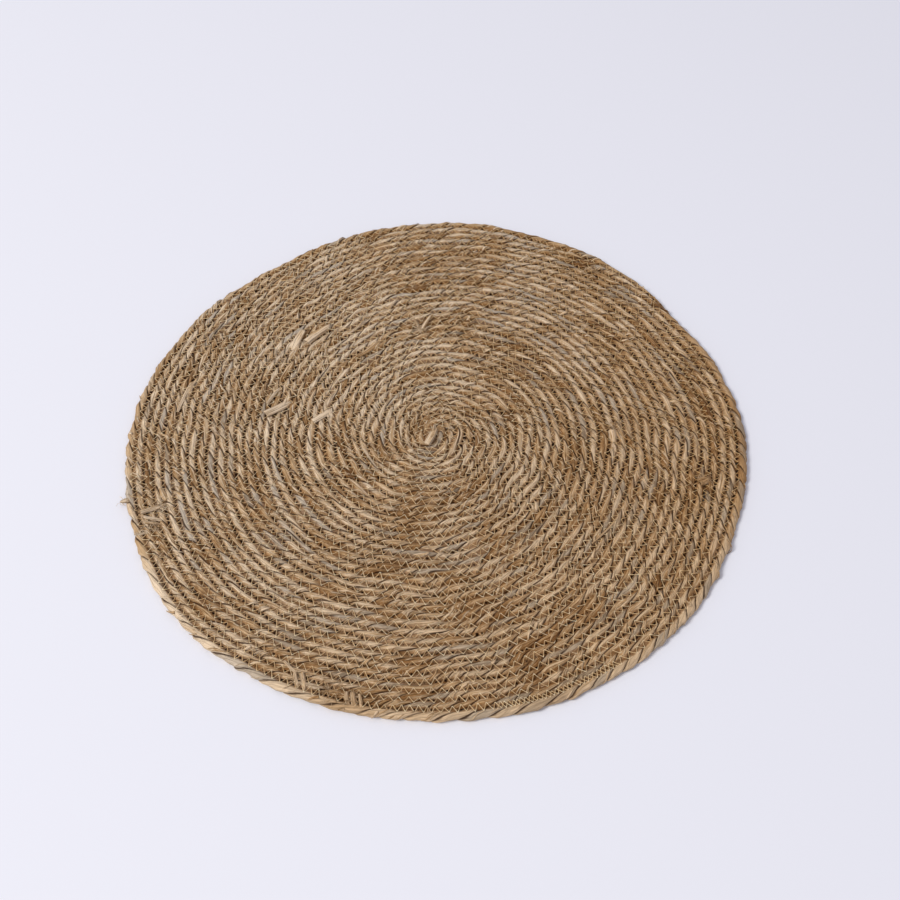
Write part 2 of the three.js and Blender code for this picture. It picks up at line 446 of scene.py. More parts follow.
class Finish:
    """A material's node tree, ending in one Principled shader."""

    def __init__(self, name):
        self.material = bpy.data.materials.new(name)
        self.material.use_nodes = True
        self.tree = self.material.node_tree
        self.shader = self.tree.nodes["Principled BSDF"]

    def node(self, kind, settings=None, inputs=None, output=0):
        """Adds a node: its settings first, then the values or links of its inputs."""
        node = self.tree.nodes.new("ShaderNode" + kind)
        for name, value in (settings or {}).items():
            setattr(node, name, value)
        for key, value in (inputs or {}).items():
            self.join(value, node.inputs[key])
        return Socket(self, node.outputs[output])

    def join(self, value, socket):
        if isinstance(value, Socket):
            self.tree.links.new(value.socket, socket)
        else:
            socket.default_value = value

    def set(self, **values):
        """Values or links of the shader's own sockets, with spaces for underscores."""
        for name, value in values.items():
            self.join(value, self.shader.inputs[name.replace("_", " ")])

    def split(self, vector):
        """The three parts of a vector."""
        node = self.tree.nodes.new("ShaderNodeSeparateXYZ")
        self.join(vector, node.inputs[0])
        return [Socket(self, output) for output in node.outputs]

    def vector(self, *parts):
        return self.node("CombineXYZ", {}, dict(enumerate(parts)))

    def noise(self, vector, scale, detail=2.0, roughness=0.5):
        inputs = {"Vector": vector, "Scale": scale, "Detail": detail, "Roughness": roughness}
        return self.node("TexNoise", {}, inputs)

    def chance(self, *parts):
        """A random value of 0 to 1 for each three whole numbers."""
        return self.node("TexWhiteNoise", {"noise_dimensions": "3D"}, {"Vector": self.vector(*parts)})

    def ramp(self, value, stops):
        """A colour by value, between stops of place and colour."""
        ramp = self.node("ValToRGB", {}, {0: value})
        elements = ramp.socket.node.color_ramp.elements
        while len(elements) < len(stops):
            elements.new(1.0)
        for element, (place, colour) in zip(elements, stops):
            element.position = place
            element.color = rgba(colour)
        return ramp

    def blend(self, share, a, b, how="MIX"):
        """Colour a turning into colour b by a share, or changed by it in another way."""
        settings = {"data_type": "RGBA", "blend_type": how}
        return self.node("Mix", settings, {0: share, 6: a, 7: b}, 2)

    def bump(self, height, distance, strength=1.0):
        return self.node("Bump", {}, {"Height": height, "Distance": distance, "Strength": strength})


def rgba(colour):
    """An sRGB colour of 0 to 255 as linear light, opaque."""
    shares = [channel / 255 for channel in colour]
    return (*[s / 12.92 if s <= 0.04045 else ((s + 0.055) / 1.055) ** 2.4 for s in shares], 1.0)


def mixed(*parts):
    """Sum of patterns of 0 to 1, each counted from its middle and weighted."""
    return sum((pattern - 0.5) * weight for pattern, weight in parts)


# Colours, as sRGB of 0 to 255
DRY_LEAF = [
    (0.0, (114, 78, 43)),
    (0.18, (143, 106, 65)),
    (0.36, (172, 136, 93)),
    (0.56, (195, 161, 119)),
    (0.8, (214, 186, 150)),
    (1.0, (233, 211, 181)),
]
GREY_LEAF = [(0.0, (142, 126, 106)), (0.5, (179, 163, 142)), (1.0, (202, 189, 171))]
# dark lines at the leaf's strip edges and creases, and painted shade in the folds where the plies meet
DARK_LINE_AND_FOLD_SHADE = (54, 23, 4)
# painted shade on the cord's sides beside the grooves
GROOVE_FLANK_SHADE = (135, 94, 52)
# painted shade of the slits at the needle holes
NEEDLE_SLIT_SHADE = (34, 12, 1)
RAW_FIBRE = (238, 214, 176)
NEAR_RIGHT_SHADE = (240, 229, 214)  # painted shade, multiplied in towards the near right
THREAD = [(0.1, (204, 164, 112)), (0.5, (240, 208, 156)), (1.0, (255, 245, 213))]
# painted shade in the grooves of the thread's twist
THREAD_TWIST_SHADE = (120, 92, 60)
FAR_RIGHT_THREAD_SHADE = (236, 224, 204)  # painted shade, multiplied in towards the far right
PALE_FLOOR = (233, 235, 243)
ROOM_LIGHT = (242, 240, 249)

# A number in each chance, so that no two patterns share one
TONE, BUNDLE, STRIP, GREY, GAP, LEG, FOLD = 1.0, 2.0, 3.0, 4.0, 5.0, 6.0, 8.0


def leaf_grain(finish, u, along, lump):
    """Patterns of one leaf strip, each by noise stretched along it: broad streaks, fine fibres, mottling,
    and two thin lines where a slow noise crosses a level, a dark crease and a pale raw fibre."""
    streak = finish.noise(finish.vector(u * 0.9, along * 1.1, lump * 3.7), 1.0, 2.0, 0.6).rise(0.34, 0.66)
    fibre = finish.noise(finish.vector(u * 1.1, along * 2.6, lump * 3.7), 1.5, 4.0, 0.65)
    mottle = finish.noise(finish.vector(u * 2.3, along * 0.5, lump * 1.3), 1.4, 2.0)
    vein = finish.noise(finish.vector(u * 1.3, along * 1.3, lump * 5.1), 1.2, 1.0)
    crease = 1 - abs(vein - 0.5).rise(0.0, 0.025)
    raw = 1 - abs(vein - 0.6).rise(0.0, 0.02)
    return streak, fibre, mottle, crease, raw


def painted_seam_shades(finish, place, x, y, across, passed):
    """Shares of painted shade on the cord's sides: the dark shade of the slit round each needle hole, and a
    lighter painted shade on the flanks beside the groove. The slit's shade spreads round each hole, where the
    stitches passed are a whole number, as wide as its own chance. It is wider on the mat's left and right
    than on its near and far sides, and slow noise closes some stretches of it."""
    outside = across.above(0.0)
    from_hole = abs((passed + 0.5).fraction() - 0.5) * 2
    sideward = x * x / (x * x + y * y + 0.0004)
    opening = finish.chance((passed + 0.5).floor(), outside, GAP) * (sideward * 0.6 + 0.5)
    ragged = finish.noise(place, 900.0) * 0.34 - 0.17
    # painted shade of the slit round each needle hole
    slit_shade = 1 - (from_hole + ragged - opening * 0.9).rise(-0.1, 0.2)
    slit_shade = slit_shade * (abs(across) + ragged * 0.4 + sideward * 0.07).rise(0.78, 0.88)
    slit_shade = slit_shade * (finish.noise(place, 90.0, 1.0) + sideward * 0.12).rise(0.42, 0.54)
    # painted shade on the flanks beside the groove
    flank_shade_share = (abs(across) + ragged * 1.2).rise(0.3, 0.68)
    return slit_shade, flank_shade_share


def palm_leaf(name, loose):
    """Dry leaf strips, a fresh one at each lump of a ply, with lengthwise grain, creases, and painted shade
    in the folds where the plies meet. The tone goes by lump, bundle of lumps, strip, patch of the mat and
    slowly along the row, and about one pair of lumps in seven is grey. The rim turn is smoother and darker,
    with painted light on its near side. The cord's sides carry painted shade beside the grooves, darkest in
    the slits at the needle holes. Painted shade darkens the leaf towards the near right. A loose piece is one
    strip, whose tone goes by the whole part of its length."""
    finish = Finish(name)
    u, v, _ = finish.split(finish.node("UVMap", {"uv_map": "Leaf"}))
    place = finish.node("TexCoord", {}, {}, "Object")
    x, y, _ = finish.split(place)
    slack = finish.noise(finish.vector(u * 3.1, v * 0.2, 0.0), 1.0)
    lump = u.floor() if loose else (u - v / (math.pi * PLY_REACH) + (slack - 0.5) * 0.12).floor()
    along = v if loose else v - u * FIBRE_SLANT
    tone = finish.chance(lump, TONE, 0.0)
    bundle = finish.chance((lump * 0.19).floor(), BUNDLE, 0.0)
    patch = finish.noise(place, 24.0)
    strip_at = along * 0.4 + tone * 7.0
    strip = finish.chance(strip_at.floor(), lump, STRIP)
    within = strip_at.fraction()
    edge = 1 - within.rise(0.0, 0.12) * (1 - within.rise(0.93, 1.0))
    streak, fibre, mottle, crease, raw = leaf_grain(finish, u, along, lump)

    varied = mixed((tone, 0.46), (bundle, 0.44), (strip, 0.4), (patch, 1.25))
    streaked = mixed((streak, 0.42), (fibre, 1.75), (mottle, 0.8))
    if loose:
        shade = varied + streaked + 0.92
        lined = 0.5
    else:
        seam = finish.node("Attribute", {"attribute_name": "seam"}, {}, "Vector")
        across, inner, outer = finish.split(seam)
        rim = 1 - outer.above(0.6)
        # painted light on the near side of the rim turn; the whole rim turn is darker
        near_rim_light = rim * (y * -1.0).rise(0.0, 0.14)
        row = finish.noise(finish.vector(inner * 0.03, 0.5, 0.0), 1.0, 3.0) - 0.5
        shade = (varied + row * 1.5) * (1 - rim * 0.45) + streaked * (1 - rim * 0.8)
        shade = shade + near_rim_light * 0.46 - rim * 0.22 + 0.77
        lined = 0.5 - rim * 0.32

    grey_share = finish.chance((lump * 0.5).floor(), GREY, 0.0).rise(0.82, 0.9) * (0.2 if loose else 0.92)
    colour = finish.blend(grey_share, finish.ramp(shade, DRY_LEAF), finish.ramp(shade, GREY_LEAF))
    colour = finish.blend(raw * lined, colour, rgba(RAW_FIBRE))
    colour = finish.blend(edge * lined, colour, rgba(DARK_LINE_AND_FOLD_SHADE))
    colour = finish.blend(crease * lined, colour, rgba(DARK_LINE_AND_FOLD_SHADE))
    # painted shade, darker and warmer towards the near right
    colour = finish.blend((x - y).rise(-0.12, 0.26), colour, rgba(NEAR_RIGHT_SHADE), "MULTIPLY")
    height = fibre * 0.4 + streak * 0.3 + within * 0.3 - edge * 0.3 - crease * 0.25 + mottle * 0.25
    if not loose:
        # painted shade in the fold where the two plies meet, stronger on some lumps
        fold_shade = abs(v).rise(4.7, 6.2) * finish.chance(lump, FOLD, 0.0).rise(-0.9, 0.7)
        passed = inner + (outer - inner) * across.above(0.0)
        slit_shade, flank_shade_share = painted_seam_shades(finish, place, x, y, across, passed)
        # painted shades: in the folds, on the flanks beside the grooves, and darkest in the slits at the
        # needle holes
        colour = finish.blend(fold_shade * 0.9, colour, rgba(DARK_LINE_AND_FOLD_SHADE))
        colour = finish.blend(flank_shade_share * 0.72, colour, rgba(GROOVE_FLANK_SHADE))
        colour = finish.blend(slit_shade * 0.97, colour, rgba(NEEDLE_SLIT_SHADE))
        height = height - slit_shade * 1.5
    normal = finish.bump(height, 0.0005, 0.95)
    finish.set(Base_Color=colour, Roughness=fibre * 0.3 + 0.45, Normal=normal, Specular_IOR_Level=0.14)
    return finish.material


def sewing_thread():
    """Thin straw-coloured thread with its twist as a fine slanting bump and as painted shade in the twist's
    grooves.
    It is brightest where it comes out of the needle holes, with painted shade over the middle of each leg;
    painted shade also dulls every second leg and the mat's far right."""
    finish = Finish("sewing_thread")
    u, v, _ = finish.split(finish.node("UVMap", {"uv_map": "Leaf"}))
    x, y, _ = finish.split(finish.node("TexCoord", {}, {}, "Object"))
    tone = finish.chance(u.floor(), LEG, 0.0)
    every_second = (u.floor() * 0.5).fraction() * 2
    twist = (u * 16.0 + v).fraction()
    groove = twist.rise(0.0, 0.25) * (1 - twist.rise(0.75, 1.0))
    from_hole = 0.5 - abs(u.fraction() - 0.5)
    # painted shade over each leg's middle, away from the needle holes, and on every second leg
    shade = tone * 0.4 + 0.6 - every_second * 0.06 - from_hole.rise(0.1, 0.3) * 0.3
    # painted shade in the grooves of the twist
    colour = finish.blend(0.16 - groove * 0.16, finish.ramp(shade, THREAD), rgba(THREAD_TWIST_SHADE))
    # painted shade, darker towards the mat's far right
    colour = finish.blend((x + y * 0.6).rise(0.0, 0.13), colour, rgba(FAR_RIGHT_THREAD_SHADE), "MULTIPLY")
    finish.set(Base_Color=colour, Roughness=0.7, Normal=finish.bump(groove, 0.0001, 0.5))
    return finish.material


PALM_LEAF = palm_leaf("palm_leaf", False)
LOOSE_LEAF = palm_leaf("loose_leaf", True)
SEWING_THREAD = sewing_thread()


# The cord's two plies

def ply_section(corner, lift=0.0):
    """A ply's outline, for corners given in radians round its own middle: a squarish ellipse, whose sine
    and cosine are raised to a power below 1, grown on every side by the lift. Returns the distance out
    from the cord's middle line and the distance sideways."""
    def squarish(wave):
        return np.sign(wave) * np.abs(wave) ** (2 / PLY_SQUARENESS)

    out = PLY_OFFSET + (PLY_HALF_DEPTH + lift) * squarish(np.cos(corner))
    return out, (PLY_HALF_WIDTH + lift) * squarish(np.sin(corner))


def uneven_twist(length):
    """How far the twist runs ahead or behind, in radians, by smooth noise that is calmer on the rim turn."""
    slow = SLOW_TWIST * noise_line(length, SLOW_TWIST_LENGTHS, seed=31)
    short = SHORT_TWIST * noise_line(length, SHORT_TWIST_LENGTHS, seed=32)
    calm = 1 - RIM_CALM * on_rim_turn(length)
    return slow * (0.4 + 0.6 * calm) + short * calm


def lays_passed():
    """How many lays of twist the cord has passed at each point: the running sum of length over lay. The
    twist tightens from nothing at the start, and on the rim turn its lay goes by the heading."""
    heading = np.degrees(WOUND_AT_END - CORD_WOUND) + CORD_END_ANGLE
    rim_lay = np.interp(heading, *np.array(RIM_LAYS).T)
    on_rim = on_rim_turn(CORD_LENGTH)
    tight = 1 - np.exp(-CORD_LENGTH / START_SLACK)
    pace = tight / LAY_LENGTH * (1 - on_rim + on_rim / rim_lay)
    return np.cumsum(pace * np.gradient(CORD_LENGTH))


LAYS_PASSED = lays_passed()


def twist_angle(length):
    """How far the plies have turned round each other, a little unevenly, in radians. At the cord's start
    the first ply lies on top."""
    lays = on_cord(length, LAYS_PASSED)
    return TURN * lays + uneven_twist(length) - uneven_twist(np.zeros(1)) - math.pi / 2


def drawn(across, spread=SIDE_SPREAD):
    """Where a point of the twisted cord comes to lie across its turn: a cubic, with the crown drawn in and
    the sides spread."""
    share = np.minimum(np.abs(across) / (PITCH / 2), 1)
    return across * (CROWN_DRAW + (spread - CROWN_DRAW) * share**2)


def pressed(across_share):
    """Share of its height that the cord keeps, across its turn: less beside the grooves."""
    return 1 - PRESS * eased(np.abs(across_share), 0.3, 0.85)


def ply_place(half_turn, length, corner, lift=0.0):
    """Points on a ply, for lengths along the cord and corners round the ply's own middle, and how far
    each lies to the cord's left. The section turns with the twist as it is carried along the cord. Its
    reach swells and crinkles by smooth noise, its width follows the turn's width, its height is pressed,
    and it is level where it meets the table. The rim's outer side isn't spread."""
    turn = half_turn * math.pi - twist_angle(length)
    out, sideways = ply_section(corner, lift)
    bulge = noise_line(length, BULGE_LENGTHS, seed=41 + half_turn)
    crinkle = noise_plane(length, corner * PLY_REACH, CRINKLE_LENGTHS, seed=51 + half_turn)
    size = cord_swell(length) * (1 + BULGE * bulge)
    size = size * (1 + CRINKLE * crinkle)
    across = size * (out * np.cos(turn) - sideways * np.sin(turn))
    free = (length > RIM_TURN_LENGTH) & (across > 0)
    across = drawn(across, np.where(free, 1.0, SIDE_SPREAD))
    up = size * (out * np.sin(turn) + sideways * np.cos(turn)) * pressed(across / (PITCH / 2))
    across = across * on_cord(length, CORD_WIDTH)
    share = on_cord(length, CORD_SHARE)
    tall = TAPER_HEIGHT_SHARE + (1 - TAPER_HEIGHT_SHARE) * share
    plan = on_cord(length, CORD_POINTS) + across[..., None] * on_cord(length, CORD_ASIDE)
    z = MIDDLE_HEIGHT * tall + cord_lift(length) * share + up * HEIGHT_SHARE * tall
    z = np.maximum(z, FLOOR_CLEARANCE)
    return raised(plan, z), across


FIRST_LUMP_OF_PLY = 499.0  # so that the two plies' lumps don't share their tones


def leaf_ply(name, half_turn):
    """One ply as a tube of corners round its middle and steps along the cord. Its place along the Leaf map
    counts half twists. Each point keeps how far across the turn it lies, and the stitches passed in the
    grooves on the turn's two sides."""
    corner = np.radians(PLY_CORNERS)
    points, across = ply_place(half_turn, CORD_LENGTH[:, None], corner[None])
    lumps = twist_angle(CORD_LENGTH) / math.pi + FIRST_LUMP_OF_PLY * half_turn
    around = np.append(corner, math.pi) * PLY_REACH
    piece = tubes(name, points[None], lumps[None], around, 42, PALM_LEAF)
    on_rim = CORD_WOUND > WOUND_AT_END - TURN
    across_share = across / (PITCH / 2 * CORD_WIDTH[:, None])
    across_share = np.where(on_rim[:, None] & (across > 0), 0, across_share)
    inner = stitch_count(CORD_WOUND)
    outer = np.where(on_rim, 0.5, stitch_count(CORD_WOUND + TURN))
    stitches = [np.broadcast_to(count[:, None], across.shape) for count in (inner, outer)]
    seam = piece.data.attributes.new("seam", "FLOAT_VECTOR", "POINT")
    values = np.stack([across_share, *stitches], -1)
    seam.data.foreach_set("vector", values.astype(np.float32).ravel())
    return piece


ply_a = leaf_ply("leaf_ply_a", 0)
ply_b = leaf_ply("leaf_ply_b", 1)


# The zigzag seam

def crown_height(wound, offset):
    """Height of the cord under a point beside the groove, from the round of the nearer turn. It follows
    only half of the swell and lift, so that fat lumps bulge over the thread."""
    length = along_cord(wound - np.where(offset < 0, TURN, 0))
    from_middle = PITCH / 2 - np.abs(offset)
    before = np.linspace(0, PITCH / 2, 40)
    round_at = np.interp(from_middle, drawn(before), before)
    reach = PLY_REACH * (0.5 + 0.5 * cord_swell(length))
    rise = np.sqrt(np.maximum(reach**2 - round_at**2, 0.2)) * pressed(from_middle / (PITCH / 2))
    return MIDDLE_HEIGHT + 0.5 * cord_lift(length) + rise * HEIGHT_SHARE


def leg_places(random, wound, side, share):
    """Plan places and offsets from the groove along straight legs from hole to hole. The sides alternate,
    and the holes wander a little from their even places."""
    aside, ahead = HOLE_JITTER
    hole = side * (SEAM_HALF_WIDTH + HOLE_DRIFT * noise_line(wound * 15, HOLE_DRIFT_LENGTHS, seed=64))
    hole = hole + random.normal(0, aside, len(wound))
    turn_per_mm = 1 / np.maximum(PITCH * wound / TURN, 1)
    wound = wound + (random.normal(0, ahead, len(wound)) + HOLE_SKEW * side) * turn_per_mm
    leg_wound = wound[:-1, None] * (1 - share) + wound[1:, None] * share
    leg_offset = hole[:-1, None] * (1 - share) + hole[1:, None] * share
    return coil_point(leg_wound, PITCH * leg_wound / TURN + leg_offset), leg_wound, leg_offset


def thread_legs(name, plan, z, radius, share):
    """Thin three-sided tubes of thread along legs, each of its own radius."""
    path = raised(plan, z)
    ahead = unit(plan[:, -1] - plan[:, 0])
    aside = raised(left_of(ahead), np.zeros(len(plan)))
    sideways = (radius[:, None] * np.cos(TUBE_CORNERS))[:, None, :, None] * aside[:, None, None]
    rise = (radius[:, None] * np.sin(TUBE_CORNERS))[:, None, :, None] * np.array(UPWARD)
    rings = path[:, :, None] + sideways + rise
    lengthwise = np.arange(len(plan))[:, None] + np.broadcast_to(share, (len(plan), len(share)))
    return tubes(name, rings, lengthwise, np.arange(4) / 3, 150, SEWING_THREAD)


HOLE_SIDES = np.where(np.arange(len(NEEDLE_HOLES)) % 2 == 0, 1.0, -1.0)  # 1 outside the groove, -1 inside


def top_seam():
    """The seam on the mat's face, sewn twice over one stretch of the rim. Each leg comes out of one needle
    hole, sags over the groove and goes into the next hole. Every second leg is pulled deeper."""
    random = np.random.default_rng(61)
    share = np.array([0.0, 0.07, 0.5, 0.93, 1.0])
    once = leg_places(random, NEEDLE_HOLES, HOLE_SIDES, share)
    again_from = WOUND_AT_END - AGAIN_BACK
    again = (NEEDLE_HOLES > again_from) & (NEEDLE_HOLES < again_from + AGAIN_ANGLE)
    twice = leg_places(random, NEEDLE_HOLES[again], -HOLE_SIDES[again], share)
    plan, wound, offset = [np.concatenate(pair) for pair in zip(once, twice)]
    odd = np.arange(len(plan)) % 2
    ends = crown_height(wound[:, [0, -1]], offset[:, [0, -1]])
    sag = random.uniform(0.05, 0.4, len(plan)) + 0.1 * odd
    first, last = ends.T
    middle = ends.mean(1) + 0.02 - sag
    heights = [first - HOLE_DEPTH, first + LEG_CLEARANCE, middle, last + LEG_CLEARANCE, last - HOLE_DEPTH]
    radius = THREAD_RADIUS * random.uniform(0.85, 1.2, len(plan))
    return thread_legs("zigzag_thread_top", plan, np.stack(heights, 1), radius, share)


def under_seam():
    """The seam on the mat's underside: straight legs pressed level between the same holes."""
    random = np.random.default_rng(62)
    share = np.array([0.0, 1.0])
    plan, wound, _ = leg_places(random, NEEDLE_HOLES, HOLE_SIDES, share)
    z = np.full(wound.shape, UNDER_THREAD_HEIGHT)
    radius = THREAD_RADIUS * random.uniform(0.85, 1.15, len(plan))
    return thread_legs("zigzag_thread_under", plan, z, radius, share)


seam_top = top_seam()
seam_under = under_seam()


# Loose leaf: raised slivers, cut ends, torn tips and frayed fibres

FLAT_STRIP = np.array([[-1, 0], [0, -0.5], [1, 0], [0, 0.5]])  # a flat four-sided section, counted leftwards
FOLDED_STRIP = np.array([[-1, 0], [-0.5, 0.75], [0, 1], [0.5, 0.75], [1, 0]])  # an arch from side to side


def folded_section(half, arch, under_share, sunk, thickness):
    """Section of a folded strip: its under side, a narrower arch sunk by a share and by the leaf's
    thickness, and back along its upper side, the full arch."""
    upper = FOLDED_STRIP[::-1]
    sideways = half[..., None] * np.concatenate([FOLDED_STRIP[:, 0] * under_share, upper[:, 0]])
    rise = arch[..., None] * np.concatenate([FOLDED_STRIP[:, 1] - sunk, upper[:, 1]])
    rise[..., :len(FOLDED_STRIP)] -= thickness
    return sideways, rise


def loose_strips(name, rings, t, girth, bake_strips):
    """A piece of many loose strips. Each has a whole number, and so a tone, of its own on the Leaf map."""
    count, _, sides, _ = rings.shape
    lengthwise = np.arange(count)[:, None] + 0.2 + 0.6 * t
    around = np.linspace(0, girth, sides + 1)
    return tubes(name, rings, lengthwise, around, bake_strips, LOOSE_LEAF)


def swept(path, outward, sideways, rise):
    """Rings of points carried along paths. Each lies sideways of the path and rises from it to its outward
    side, with the path's direction, the outward side and the left kept square to each other. None goes
    below the floor."""
    ahead = unit(np.gradient(path, axis=1))
    left = unit(np.cross(outward, ahead))
    up = np.cross(ahead, left)
    rings = path[:, :, None] + sideways[..., None] * left[:, :, None] + rise[..., None] * up[:, :, None]
    rings[..., 2] = np.maximum(rings[..., 2], FLOOR_CLEARANCE)
    return rings


def outward_of(path, length):
    """Directions from the cord's middle to points of its surface."""
    middle = on_cord(length, CORD_POINTS)
    return path - raised(middle, np.full(middle.shape[:-1], MIDDLE_HEIGHT))


def on_top(random, count, least_height):
    """Random places on the two plies' upper sides, as half turn, length along the cord and corner."""
    tries = count * 8
    half_turn = random.integers(0, 2, tries)
    length = random.uniform(8, CORD_LENGTH[-1] - 60, tries)
    corner = random.uniform(-1.3, 1.3, tries)
    turn = half_turn * math.pi - twist_angle(length)
    out, sideways = ply_section(corner)
    up = out * np.sin(turn) + sideways * np.cos(turn)
    high = np.flatnonzero(up > least_height)[:count]
    return half_turn[high], length[high], corner[high]


def both_plies(half_turn, length, corner, lift):
    """Points on whichever ply each row belongs to."""
    on_a, _ = ply_place(0, length, corner, lift)
    on_b, _ = ply_place(1, length, corner, lift)
    return np.where(half_turn[:, None, None] == 0, on_a, on_b)


def leaf_slivers():
    """Narrow raised slivers and folds of leaf on the upper sides of the plies, each a thin flat strip that
    follows its ply, tapers to both ends and lifts off by the cube of its length. Few lift far."""
    random = np.random.default_rng(71)
    half_turn, length, corner = on_top(random, SLIVER_COUNT, 1.5)
    count = len(length)
    t = np.linspace(0, 1, 7)
    reach = random.uniform(3, 9, (count, 1))
    along = length[:, None] + (t - 0.5) * reach
    drift = random.normal(0, 0.18, (count, 1))
    corners = corner[:, None] + (t - 0.5) * drift
    lift = 0.04 + random.uniform(0, 1, (count, 1)) ** 4 * 0.9 * t**3
    path = both_plies(half_turn, along, corners, lift)
    width = random.uniform(0.14, 0.6, (count, 1)) * (1 - np.abs(2 * t - 1) ** 3 * 0.85)
    sideways = width[..., None] * FLAT_STRIP[:, 0]
    rise = 0.16 * FLAT_STRIP[:, 1] * np.ones((count, len(t), 1))
    rings = swept(path, outward_of(path, along), sideways, rise)
    return loose_strips("leaf_slivers", rings, t, 1.6, 60)


# Cut ends of leaf that lie on the mat: where each comes out of the cord, where its cut end is, its width
# and arch, how high the end stands, how far it narrows to a point, and how far it bows sideways
END_MEASURES = ("root", "end", "width", "arch", "rise", "point", "bow")
CUT_ENDS = [
    ((-91, 30), (-106.5, 18), 6, 0.9, 1.6, 0, 0.5),
    ((-98, 42), (-106, 27), 2.6, 0.5, 0.6, 0.3, -0.4),
    ((-93.2, 72), (-86.2, 87.6), 5.5, 0.9, 2.2, 0.35, 0.6),
    ((-69.5, 93.8), (-84, 77.2), 6, 2, 1.6, 0, -0.5),
    ((-36, 80), (-49.3, 65), 4.4, 0.8, 0.8, 0.7, 0.8),
    ((-9.5, 86), (-2.6, 98), 3.1, 0.7, 2.4, 0.6, 0.4),
    ((-9.5, 86.5), (-13.6, 96.5), 2.3, 0.5, 2, 0.7, -0.5),
    ((-160.5, -46.5), (-174.5, -54.5), 3.4, 0.6, 1.6, 0, 0.4),
    ((-161, -44.5), (-165, -37), 3.9, 0.8, 1.2, 0.5, 0.3),
    ((-160.5, -59), (-172.5, -57), 2.2, 0.5, 0.8, 0.2, 0.3),
    ((-160, -62.5), (-171.5, -61), 2.2, 0.5, 0.7, 0.2, -0.3),
    ((-182.5, -43.6), (-188.2, -46), 3.9, 0.6, 0.8, 0.8, 0.2),
    ((-75.6, -169), (-77.6, -160.2), 2.3, 0.6, 0.9, 0.1, 0.2),
    ((-72.2, -170), (-73.6, -161), 2.6, 0.6, 1.2, 0.1, -0.2),
    ((-47.6, -181), (-49.6, -172.6), 2.5, 0.8, 1.1, 0.1, 0.4),
    ((-44.6, -182), (-46, -173), 2.9, 0.8, 1.4, 0.2, 0.3),
    ((-41.6, -182), (-42.4, -174), 2.1, 0.6, 1, 0.3, -0.3),
    ((109.3, -7.4), (108.6, -0.8), 5, 1.4, 2, 0, 0.2),
    ((114.6, -9.6), (111, -0.6), 2.1, 0.4, 1.4, 0.5, 0.2),
    ((0.3, 6.8), (-5.8, -7.8), 4.4, 1, 0.5, 0, 0.3),
    ((-64.5, 23.4), (-76.5, 12), 4.6, 0.6, 0.9, 0.1, 0.4),
    ((-52, 52.8), (-61.7, 43.8), 1.6, 0.4, 0.6, 0.6, 0.9),
    ((111, -56), (89.2, -82), 1.7, 0.4, 0.3, 0.5, 1.5),
    ((-167, -64.5), (-176.6, -69.6), 1.6, 0.3, 0.9, 0.4, 1.4),
    ((-155.6, 48.5), (-162, 22), 2.4, 0.5, 0.4, 0.3, -0.3),
    ((-75, -161.5), (-83.8, -153.4), 1.9, 0.4, 0.7, 0.2, 0.4),
    ((163.4, -36.6), (156.4, -41.4), 5.7, 1.4, 1.8, 0, 0.2),
]


def cut_ends():
    """Folded strips of leaf that come up out of the cord. Each is an arch-shaped section carried from its
    root to its cut end. The path bows by a half sine. It comes up out of the cord by a fourth power, and
    then rises by the power 1.5."""
    rows = {key: np.array(values) for key, values in zip(END_MEASURES, zip(*CUT_ENDS))}
    t = np.linspace(0, 1, 12)
    run = rows["end"] - rows["root"]
    aside = left_of(unit(run))
    bow = rows["bow"][:, None] * np.sin(math.pi * t)
    plan = rows["root"][:, None] + run[:, None] * t[:, None] + bow[..., None] * aside[:, None]
    z = END_HEIGHT - END_DEPTH * (1 - t) ** 4 + rows["rise"][:, None] * t**1.5
    path = raised(plan, z)
    half = rows["width"][:, None] / 2 * (0.75 + 0.25 * eased(t, 0, 0.3)) * (1 - rows["point"][:, None] * t**3)
    arch = rows["arch"][:, None] * (1 - 0.3 * rows["point"][:, None] * t)
    sideways, rise = folded_section(half, arch, 0.86, 0.12, LEAF_THICKNESS)
    rings = swept(path, np.broadcast_to(UPWARD, path.shape), sideways, rise)
    return loose_strips("cut_ends", rings, t, 9, 4)


def leaf_tips():
    """Small torn tips of leaf all over the face, each a tapering folded strip that leaves its ply's
    surface and bends away from it by the square of its length."""
    random = np.random.default_rng(72)
    half_turn, length, corner = on_top(random, TIP_COUNT, 1.7)
    count = len(length)
    t = np.linspace(0, 1, 8)
    direction = np.where(random.uniform(0, 1, (count, 1)) < 0.5, -1, 1)
    along = length[:, None] + t * direction * random.uniform(2.5, 8, (count, 1))
    corners = corner[:, None] + t * random.normal(0, 0.3, (count, 1))
    lift = 0.1 + t**2 * random.uniform(0.2, 1.6, (count, 1))
    path = both_plies(half_turn, along, corners, lift)
    half = random.uniform(0.35, 1.1, (count, 1)) * (1 - t**2 * random.uniform(0.4, 0.95, (count, 1)))
    sideways, rise = folded_section(half, 0.4 * half, 0.9, 0, TIP_THICKNESS)
    rings = swept(path, outward_of(path, along), sideways, rise)
    return loose_strips("leaf_tips", rings, t, 4, 20)


# Where fibres are frayed out in tufts: place, spread and number
TUFTS = [
    ((-167, -64), 5, 40),
    ((-166, -50), 5, 26),
    ((-74, -164), 4, 22),
    ((-58, -172), 6, 30),
    ((-46, -177), 4.5, 34),
    ((-9, 90), 3.5, 22),
    ((-100, 66), 8, 34),
    ((160, -39), 3, 26),
    ((110, 3), 3, 12),
    ((-186, -45.2), 1.2, 12),
    ((0, 0), 9, 14),
]


